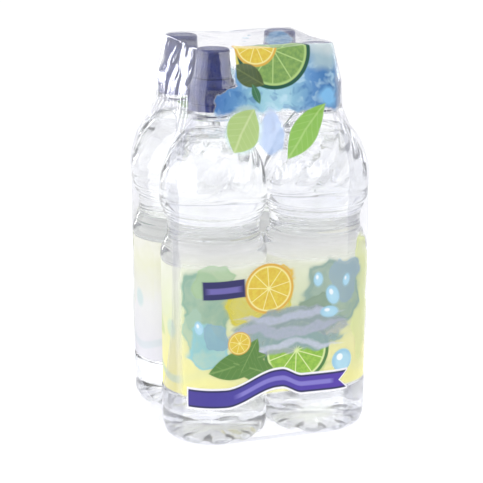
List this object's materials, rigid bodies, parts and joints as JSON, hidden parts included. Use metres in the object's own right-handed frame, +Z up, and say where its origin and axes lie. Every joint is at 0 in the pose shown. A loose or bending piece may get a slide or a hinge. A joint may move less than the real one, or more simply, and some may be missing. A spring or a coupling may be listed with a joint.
{
  "type": "shrink-wrapped pack of flavoured water bottles",
  "caption": "Square pack of small clear water bottles with sports caps and wrap labels, held by a clear printed shrink film with an oval opening at either side.",
  "frame": {"origin": "on the floor under the middle of the pack", "axes": "+Z up along the bottles, -Y towards the printed front, +X to the right seen from the front"},
  "size_m": [0.1268, 0.1268, 0.2308],
  "materials": {
    "bottle": "clear blown plastic, glossy",
    "water": "clear still water",
    "label": "printed film label, pale yellow-green, satin",
    "cap": "moulded blue plastic with fine ribs",
    "film": "clear shrink film with glossy print in blue, green and yellow"
  },
  "bodies": {
    "root": {"bottle_front_left": "bottle", "bottle_front_right": "bottle", "bottle_back_left": "bottle", "bottle_back_right": "bottle", "water_front_left": "water", "water_front_right": "water", "water_back_left": "water", "water_back_right": "water", "label_front_left": "label", "label_front_right": "label", "label_back_left": "label", "label_back_right": "label", "cap_front_left": "cap", "cap_front_right": "cap", "cap_back_left": "cap", "cap_back_right": "cap", "shrink_film": "film"}
  },
  "joints": []
}
